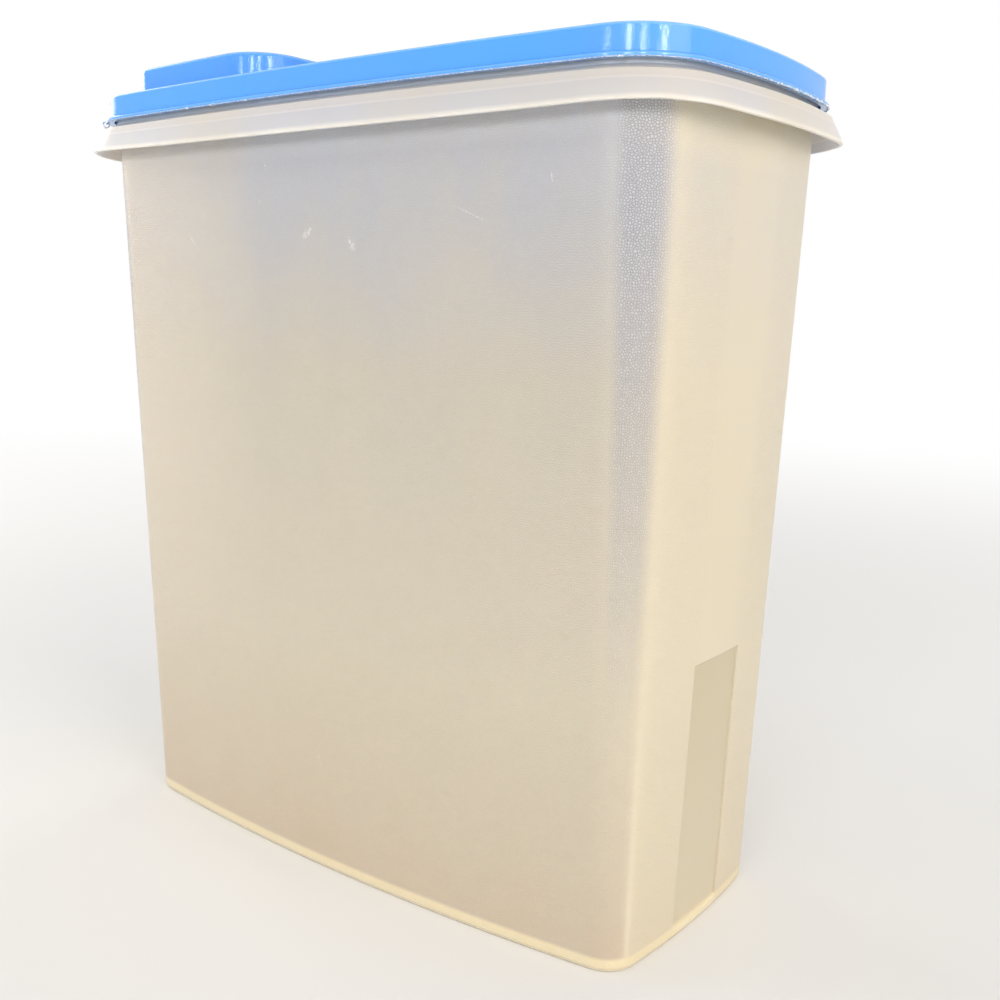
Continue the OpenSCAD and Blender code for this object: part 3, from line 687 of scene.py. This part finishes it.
def blue_polyethylene():
    """Injection moulded low-density polyethylene, smooth and glossy.

    The skin is faintly rippled by the mould's flow, so lamps draw broken streaks, and its thin edges are painted pale,
    partly as wear and partly as painted highlights.
    """
    made = bpy.data.materials.new("glossy_blue_polyethylene")
    made.use_nodes = True
    tree = made.node_tree
    shader = tree.nodes["Principled BSDF"]
    place = add(tree, "ShaderNodeTexCoord").outputs["Object"]
    axes = add(tree, "ShaderNodeSeparateXYZ", {0: place}).outputs

    # Slight unevenness of the pigment, in patches of 60 mm
    patches = add(tree, "ShaderNodeTexNoise", {"Vector": place, "Scale": 16.0, "Detail": 2.0}).outputs["Fac"]
    uneven = add(tree, "ShaderNodeMapRange", {"Value": patches, "From Min": 0.35, "From Max": 0.65}).outputs[0]
    surface = add(tree, "ShaderNodeMix", {0: uneven, 6: colour("#56A6FA"), 7: colour("#5CA4F6")},
                  data_type="RGBA").outputs[2]

    # The thin edges are painted pale, partly as wear from handling and partly as painted highlights: the rim's, the
    # lip's upper one and the cap's. The lip's lower edge is painted pale to lift the shade under it. Each is given by
    # its height, from where it starts to pale to where it is palest, and by where it ends.
    rubs = add(tree, "ShaderNodeTexNoise", {"Vector": place, "Scale": 260.0, "Detail": 4.0}).outputs["Fac"]
    uneven_wear_and_highlight = add(tree, "ShaderNodeMapRange",
                     {"Value": rubs, "From Min": 0.3, "From Max": 0.6, "To Min": 0.6}).outputs[0]
    facing = add(tree, "ShaderNodeTexCoord").outputs["Normal"]
    upward = add(tree, "ShaderNodeSeparateXYZ", {0: facing}).outputs["Z"]
    off_flat = add(tree, "ShaderNodeMapRange", {"Value": upward, "From Min": 0.8, "From Max": 0.98, "To Min": 1.0,
                                                "To Max": 0.0}).outputs[0]
    edges = ((lid_top - 1.0, lid_top - 0.5, lid_top + 0.1, 0.7, "#93CCFA"),
             (lip_z + 0.5, lip_z + 1.1, lip_z + lip_t, 0.6, "#93CCFA"),
             (lip_z + 0.4, lip_z + 0.15, lip_z + 0.4, 0.5, "#CFE0F2"),
             (cap_top - 1.3, cap_top - 0.6, cap_top + 0.1, 0.5, "#93CCFA"))
    for low, palest, high, share, shade in edges:
        edge = add(tree, "ShaderNodeMapRange",
                   {"Value": axes["Z"], "From Min": low * MM, "From Max": palest * MM, "To Max": share}).outputs[0]
        under = add(tree, "ShaderNodeMath", {0: axes["Z"], 1: high * MM}, operation="LESS_THAN").outputs[0]
        for mask in (under, uneven_wear_and_highlight, off_flat):
            edge = add(tree, "ShaderNodeMath", {0: edge, 1: mask}, operation="MULTIPLY").outputs[0]
        surface = add(tree, "ShaderNodeMix", {0: edge, 6: surface, 7: colour(shade)},
                      data_type="RGBA").outputs[2]

    # Upright flow ripples 2.4 mm apart, and a fine orange-peel of 0.7 mm
    upright_grain = add(tree, "ShaderNodeMapping", {"Vector": place, "Scale": (1, 1, 0.12)}).outputs[0]
    ripples = add(tree, "ShaderNodeTexNoise",
                  {"Vector": upright_grain, "Scale": 1 / (2.4 * MM), "Detail": 2.0}).outputs["Fac"]
    peel = add(tree, "ShaderNodeTexNoise", {"Vector": place, "Scale": 1 / (0.7 * MM), "Detail": 2.0}).outputs["Fac"]
    slow = add(tree, "ShaderNodeBump", {"Height": ripples, "Strength": 0.6, "Distance": 0.05 * MM}).outputs[0]
    relief = add(tree, "ShaderNodeBump", {"Height": peel, "Strength": 1.0, "Distance": 0.045 * MM, "Normal": slow})
    dulled = add(tree, "ShaderNodeMapRange", {"Value": rubs, "To Min": 0.09, "To Max": 0.16}).outputs[0]

    tree.links.new(surface, shader.inputs["Base Color"])
    tree.links.new(dulled, shader.inputs["Roughness"])
    tree.links.new(relief.outputs[0], shader.inputs["Normal"])
    shader.inputs["IOR"].default_value = 1.51
    shader.inputs["Specular IOR Level"].default_value = 0.3
    shader.inputs["Subsurface Weight"].default_value = 0.15
    shader.inputs["Subsurface Radius"].default_value = (0.5, 0.8, 1.0)
    shader.inputs["Subsurface Scale"].default_value = 1.5 * MM
    return made


def fused(name, parts):
    """One closed moulding from closed parts that overlap."""
    whole = parts[0]
    for part in parts[1:]:
        joint = whole.modifiers.new(part.name, "BOOLEAN")
        joint.operation = "UNION"
        joint.solver = "MANIFOLD"
        joint.object = part
    settle(whole)
    remove(*parts[1:])
    whole.name = name
    whole.data.name = name
    return whole


def softened(piece, r):
    """Rounds a part's hard edges to r millimetres."""
    round_off = piece.modifiers.new("round_off", "BEVEL")
    round_off.width = r * MM
    round_off.segments = 3
    round_off.limit_method = "ANGLE"
    round_off.angle_limit = math.radians(50)
    return settle(piece)


wall_tree, given = node_tree("Swept wall", {"Plan": "Object", "Section": "Object", "Material": "Material"})
finished(wall_tree, swept(wall_tree, given["Plan"], given["Section"]), given["Material"])

plate_tree, given = node_tree("Pierced plate", {"Outline": "Object", "Hole": "Object", "Thickness": "Float",
                                                "Material": "Material"})
edges = [add(plate_tree, "GeometryNodeObjectInfo", {"Object": given[label]}).outputs["Geometry"]
         for label in ("Outline", "Hole")]
both = add(plate_tree, "GeometryNodeJoinGeometry", {0: edges[0]})
plate_tree.links.new(edges[1], both.inputs[0])
face = add(plate_tree, "GeometryNodeFillCurve", {"Curve": both.outputs[0]}, mode="NGONS").outputs[0]
raise_by = add(plate_tree, "ShaderNodeCombineXYZ", {2: given["Thickness"]}).outputs[0]
block = add(plate_tree, "GeometryNodeExtrudeMesh", {"Mesh": face, "Offset": raise_by, "Individual": False}).outputs[0]
under = add(plate_tree, "GeometryNodeFlipFaces", {"Mesh": face}).outputs[0]
both_faces = add(plate_tree, "GeometryNodeJoinGeometry", {0: block})
plate_tree.links.new(under, both_faces.inputs[0])
sealed = add(plate_tree, "GeometryNodeMergeByDistance", {"Geometry": both_faces.outputs[0], "Distance": 1e-7})
finished(plate_tree, sealed.outputs[0], given["Material"])


def wall_round(name, plan_points, stations, closed=True):
    """A swept wall that follows a plan; an open one is closed by fans."""
    plan_path = path(name + "_plan", plan_points)
    profile = section(name + "_section", stations, closed)
    made = grown(name, wall_tree, Plan=plan_path, Section=profile, Material=blue)
    remove(plan_path, profile)
    return ends_closed(made)


def plate(name, outline, thickness, hole=None):
    """A flat plate from z 0 up, with an optional hole."""
    lines = [path(name + "_outline", outline)]
    if hole:
        lines.append(path(name + "_hole", hole))
    made = grown(name, plate_tree, Outline=lines[0], Hole=lines[-1] if hole else None, Thickness=thickness * MM,
                 Material=blue)
    remove(*lines)
    return ends_closed(made)


def moved(piece, *steps):
    """Carries a part's mesh to its place; distances are in millimetres."""
    for step in steps:
        piece.data.transform(step if isinstance(step, Matrix) else Matrix.Translation(Vector(step) * MM))
    return piece


blue = blue_polyethylene()
edge_stations = wall_end(channel_out, lid_out + lip_reach, lip_z, -1)
edge_stations += [(lid_out + lip_reach, lip_z + lip_t - edge_r), (lid_out + lip_reach - edge_r, lip_z + lip_t),
                  (lid_out, lip_z + lip_t + edge_r)]
edge_stations += wall_end(lid_out, plug_in, lid_top, 1, lid_round)
edge_stations += wall_end(plug_in, plug_out, plug_z, -1)
edge_stations += [(plug_out, lid_top - lid_t), (channel_out, lid_top - lid_t)]
collar_stations = wall_end(collar_out - collar_t, collar_out, deck_z - collar_root, -1)
collar_stations += wall_end(collar_out, collar_out - collar_t, collar_top, 1)
quarter_turn = math.pi / 2
lug_outline = arc(Vector((0, 0)), lug_r, 0.14, math.pi - 0.14, 20)
lug_outline += [Vector((x, deck_z - lid_t / 2 - axis_z)) for x in (-lug_foot_half, lug_foot_half)]
lid_parts = [
    wall_round("lid_edge", canister_plan(mouth_arcs), edge_stations),
    moved(plate("lid_deck", canister_plan(mouth_arcs, (plug_in + plug_out) / 2), lid_t,
                hole=cap_plan(collar_out - collar_t / 2, collar_back)), (0, 0, deck_z - lid_t)),
    wall_round("lid_collar", cap_plan(0, collar_back), collar_stations)]
for name, start in (("lug_left", -lug_y), ("lug_right", lug_y + lug_w)):
    lug = softened(plate(name, lug_outline, lug_w, hole=arc(Vector((0, 0)), pin_r + pin_play, 0, 2 * math.pi, 32)[1:]), 0.3)
    lid_parts.append(moved(lug, Matrix.Rotation(quarter_turn, 4, "X"), (axis_x, start, axis_z)))
lid = shaded(fused("lid_moulding", lid_parts))
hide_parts("lid")
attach(lid, "lid")

# Frayed lip
# Prying has chewed the lid's thin lip, worst at the end away from the spout: its edge is a ragged, stress-whitened
# line with loose flakes and one curl. All of it is the lid's own plastic. Sizes are in millimetres.
lip_out = lid_out + lip_reach
fray_spacing = 0.45
fray_thick = 0.34
fray_stray = 0.9
flake_spacing = 0.8
nicks = (-63.5, -48.9, -31.0, 116.9)
curl_at = (-124.6, -58.4, lip_z + 0.3)


def stressed_polyethylene():
    """The lid's polyethylene where it was bent and torn: full of fine voids, so it scatters white and dull."""
    made = bpy.data.materials.new("stress_whitened_polyethylene")
    made.use_nodes = True
    tree = made.node_tree
    shader = tree.nodes["Principled BSDF"]
    place = add(tree, "ShaderNodeTexCoord").outputs["Object"]
    shreds = add(tree, "ShaderNodeTexNoise", {"Vector": place, "Scale": 1 / (0.8 * MM), "Detail": 4.0}).outputs["Fac"]
    white = add(tree, "ShaderNodeMapRange", {"Value": shreds, "From Min": 0.42, "From Max": 0.56}).outputs[0]
    surface = add(tree, "ShaderNodeMix", {0: white, 6: colour("#86AEDC"), 7: colour("#EEF1F4")},
                  data_type="RGBA").outputs[2]
    torn = add(tree, "ShaderNodeBump", {"Height": shreds, "Strength": 0.8, "Distance": 0.2 * MM})
    tree.links.new(surface, shader.inputs["Base Color"])
    tree.links.new(torn.outputs[0], shader.inputs["Normal"])
    shader.inputs["Roughness"].default_value = 0.6
    shader.inputs["IOR"].default_value = 1.51
    return made


def wear_along(tree, spot):
    """Adds the nodes that say how badly the lip is chewed at a place: 0 is sound and 1 is worst."""
    spots = add(tree, "ShaderNodeSeparateXYZ", {0: spot}).outputs
    at_end = add(tree, "ShaderNodeMapRange",
                 {"Value": spots["X"], "From Min": 124 * MM, "From Max": 130 * MM}).outputs[0]
    across = add(tree, "ShaderNodeMapRange",
                 {"Value": spots["Y"], "From Min": -30 * MM, "From Max": 12 * MM, "To Min": 0.3}).outputs[0]
    wear = add(tree, "ShaderNodeMath", {0: at_end, 1: across}, operation="MULTIPLY").outputs[0]
    patch = add(tree, "ShaderNodeTexNoise", {"Vector": spot, "Scale": 1 / (9 * MM), "Detail": 1.0}).outputs["Fac"]
    patch = add(tree, "ShaderNodeMapRange",
                {"Value": patch, "From Min": 0.6, "From Max": 0.76, "To Max": 0.4}).outputs[0]
    wear = add(tree, "ShaderNodeMath", {0: wear, 1: patch}, operation="MAXIMUM").outputs[0]
    front = add(tree, "ShaderNodeMath", {0: spots["Y"], 1: 0.0}, operation="LESS_THAN").outputs[0]
    for x in nicks:
        off = add(tree, "ShaderNodeMath", {0: spots["X"], 1: x * MM}, operation="SUBTRACT").outputs[0]
        off = add(tree, "ShaderNodeMath", {0: off}, operation="ABSOLUTE").outputs[0]
        nick = add(tree, "ShaderNodeMapRange", {"Value": off, "From Min": 0.8 * MM, "From Max": 2.2 * MM,
                                                "To Min": 1.0, "To Max": 0.0}).outputs[0]
        nick = add(tree, "ShaderNodeMath", {0: nick, 1: front}, operation="MULTIPLY").outputs[0]
        wear = add(tree, "ShaderNodeMath", {0: wear, 1: nick}, operation="MAXIMUM").outputs[0]
    return wear


fray_tree, given = node_tree("Frayed edge", {"Plan": "Object", "Spacing": "Float", "Thickness": "Float",
                                             "Stray": "Float", "Material": "Material"})
edge_line = add(fray_tree, "GeometryNodeObjectInfo", {"Object": given["Plan"]}).outputs["Geometry"]
fine_line = add(fray_tree, "GeometryNodeResampleCurve", {"Curve": edge_line, "Length": given["Spacing"]},
                mode="LENGTH").outputs[0]
spot = add(fray_tree, "GeometryNodeInputPosition").outputs[0]
wear = wear_along(fray_tree, spot)
rough = add(fray_tree, "ShaderNodeTexNoise", {"Vector": spot, "Scale": 1 / (1.3 * MM), "Detail": 3.0}).outputs
jitter = add(fray_tree, "ShaderNodeVectorMath", {0: rough["Color"], 1: (0.5, 0.5, 0.5)}, operation="SUBTRACT").outputs[0]
reach = add(fray_tree, "ShaderNodeMath", {0: wear, 1: given["Stray"]}, operation="MULTIPLY").outputs[0]
jitter = add(fray_tree, "ShaderNodeVectorMath", {0: jitter, "Scale": reach}, operation="SCALE").outputs[0]
strayed = add(fray_tree, "GeometryNodeSetPosition", {"Geometry": fine_line, "Offset": jitter}).outputs[0]
thread = add(fray_tree, "GeometryNodeCurvePrimitiveCircle",
             {"Resolution": 6, "Radius": given["Thickness"]}).outputs[0]
swell = add(fray_tree, "ShaderNodeMapRange", {"Value": rough["Fac"], "From Min": 0.35, "From Max": 0.65,
                                              "To Min": 0.3, "To Max": 1.5}).outputs[0]
swell = add(fray_tree, "ShaderNodeMath", {0: swell, 1: wear}, operation="MULTIPLY").outputs[0]
swell = add(fray_tree, "ShaderNodeMath", {0: swell, 1: 0.25}, operation="MAXIMUM").outputs[0]
frayed = add(fray_tree, "GeometryNodeCurveToMesh", {"Curve": strayed, "Profile Curve": thread, "Scale": swell}).outputs[0]
finished(fray_tree, frayed, given["Material"])

flake_tree, given = node_tree("Loose flakes", {"Plan": "Object", "Spacing": "Float", "Size": "Float", "Seed": "Int",
                                               "Material": "Material"})
edge_line = add(flake_tree, "GeometryNodeObjectInfo", {"Object": given["Plan"]}).outputs["Geometry"]
roots = add(flake_tree, "GeometryNodeCurveToPoints", {"Curve": edge_line, "Length": given["Spacing"]},
            mode="LENGTH").outputs["Points"]
spot = add(flake_tree, "GeometryNodeInputPosition").outputs[0]
draw = add(flake_tree, "FunctionNodeRandomValue", {2: 0.0, 3: 1.0, "Seed": given["Seed"]}, data_type="FLOAT").outputs[1]
kept = add(flake_tree, "FunctionNodeCompare", {0: draw, 1: wear_along(flake_tree, spot)}, operation="LESS_THAN").outputs[0]
chip = add(flake_tree, "GeometryNodeMeshIcoSphere", {"Radius": given["Size"], "Subdivisions": 2}).outputs[0]
chip = add(flake_tree, "GeometryNodeTransform", {"Geometry": chip, "Scale": (1.0, 0.45, 0.3)}).outputs[0]
spin = add(flake_tree, "FunctionNodeRandomValue", {0: (0, 0, 0), 1: (6.28, 6.28, 6.28), "Seed": given["Seed"]},
           data_type="FLOAT_VECTOR").outputs[0]
grow = add(flake_tree, "FunctionNodeRandomValue", {2: 0.5, 3: 1.2, "Seed": given["Seed"]}, data_type="FLOAT").outputs[1]
placed = add(flake_tree, "GeometryNodeInstanceOnPoints",
             {"Points": roots, "Selection": kept, "Instance": chip, "Rotation": spin, "Scale": grow}).outputs[0]
loose = add(flake_tree, "GeometryNodeRealizeInstances", {0: placed}).outputs[0]
bend = add(flake_tree, "ShaderNodeTexNoise", {"Vector": spot, "Scale": 1 / (0.7 * MM), "Detail": 2.0}).outputs["Color"]
bend = add(flake_tree, "ShaderNodeVectorMath", {0: bend, 1: (0.5, 0.5, 0.5)}, operation="SUBTRACT").outputs[0]
bend = add(flake_tree, "ShaderNodeVectorMath", {0: bend, "Scale": 0.5 * MM}, operation="SCALE").outputs[0]
ragged = add(flake_tree, "GeometryNodeSetPosition", {"Geometry": loose, "Offset": bend}).outputs[0]
finished(flake_tree, ragged, given["Material"])

torn = stressed_polyethylene()
lip_line = path("lip_line", [(p.x, p.y, lip_z + 0.05) for p in canister_plan(mouth_arcs, lip_out - 0.2)])
fray = grown("lip_fray", fray_tree, Plan=lip_line, Spacing=fray_spacing * MM, Thickness=fray_thick * MM,
             Stray=fray_stray * MM, Material=torn)
flakes = grown("lip_flakes", flake_tree, Plan=lip_line, Spacing=flake_spacing * MM, Size=0.6 * MM, Seed=7,
               Material=torn)
curl_steps = 28
spiral = [(1.9 * i / curl_steps - 0.4, math.radians(430) * i / curl_steps, 1.3 - 0.7 * i / curl_steps)
          for i in range(curl_steps + 1)]
curl_line = path("lip_curl", [(curl_at[0] + along, curl_at[1] - r * math.sin(t), curl_at[2] + r * math.cos(t) - 1.0)
                              for along, t, r in spiral], closed=False)
curl_line.data.bevel_depth = 0.3 * MM
curl_line.data.bevel_resolution = 3
curl_line.data.use_fill_caps = True
curl = bpy.data.objects.new("lip_curl_flake", bpy.data.meshes.new_from_object(curl_line))
curl.data.materials.append(torn)
bpy.context.scene.collection.objects.link(curl)
remove(curl_line, lip_line)
for piece in (fray, flakes, curl):
    piece.data.shade_smooth()
    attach(piece, "lid")

# Flip cap
# The pour cap is one hollow moulding in the same polyethylene as the lid, with a sealing ring inside, a thumb tab
# over the rim, and a leaf with a barrel whose end pins turn in the lid's lugs. Sizes are in millimetres.
cap_z = 284.4
cap_round = 1.6
seal_t = 1.2
seal_out = collar_out - collar_t - 0.7
seal_back = collar_back + 1.8
seal_z = collar_top - 2
tab_w = 24
tab_reach = 16.2
tab_t = 1.6
tab_z = lid_top + 0.5
barrel_r = 2.4
barrel_half = 29.6
pin_half = barrel_half + lug_w
leaf_t = 2.6
leaf_in = 2
ceiling_z = cap_top - cap_t

top_turns = [math.pi / 2 * i / 8 for i in range(9)]
shell_stations = [(-cap_t - cap_round, ceiling_z), (-cap_t, ceiling_z - cap_round)]
shell_stations += wall_end(-cap_t, 0, cap_z, -1)
shell_stations += [(-cap_round * (1 - math.cos(t)), cap_top - cap_round * (1 - math.sin(t))) for t in top_turns]
tab_corner = tab_w / 4
tab_outline = arc(Vector((tab_corner - tab_reach, tab_corner - tab_w / 2)), tab_corner, -math.pi, -quarter_turn, 12)
tab_outline += [Vector((cap_t / 2, y)) for y in (-tab_w / 2, tab_w / 2)]
tab_outline += arc(Vector((tab_corner - tab_reach, tab_w / 2 - tab_corner)), tab_corner, quarter_turn, math.pi, 12)
leaf_half = barrel_half - leaf_in
leaf_outline = [Vector((x, y)) for x, y in ((-hinge_back - cap_t / 2, -leaf_half), (0, -leaf_half), (0, leaf_half),
                                            (-hinge_back - cap_t / 2, leaf_half))]
pin_chamfer = 0.3
spindle_stations = [(pin_r - pin_chamfer - 1, -pin_half), (pin_r - 1, pin_chamfer - pin_half), (pin_r - 1, -barrel_half),
                    (barrel_r - pin_chamfer - 1, -barrel_half), (barrel_r - 1, pin_chamfer - barrel_half)]
spindle_stations += [(o, -z) for o, z in spindle_stations[::-1]]
cap_parts = [
    wall_round("cap_shell", cap_plan(), shell_stations, closed=False),
    moved(plate("cap_seal", cap_plan(seal_out, seal_back), ceiling_z + cap_t / 2 - seal_z,
                hole=cap_plan(seal_out - seal_t, seal_back)), (0, 0, seal_z)),
    moved(softened(plate("cap_tab", tab_outline, tab_t), 0.4), (cap_front_x, 0, tab_z)),
    moved(plate("cap_leaf", leaf_outline, leaf_t), (axis_x, 0, axis_z - leaf_t / 2)),
    moved(wall_round("cap_spindle", arc(Vector((0, 0)), 1, 0, 2 * math.pi, 40)[1:], spindle_stations, closed=False),
          Matrix.Rotation(quarter_turn, 4, "X"), (axis_x, 0, axis_z))]
cap = shaded(fused("cap_moulding", cap_parts))
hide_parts("flip_cap")
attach(cap, "flip_cap")

remove(mouth_path)
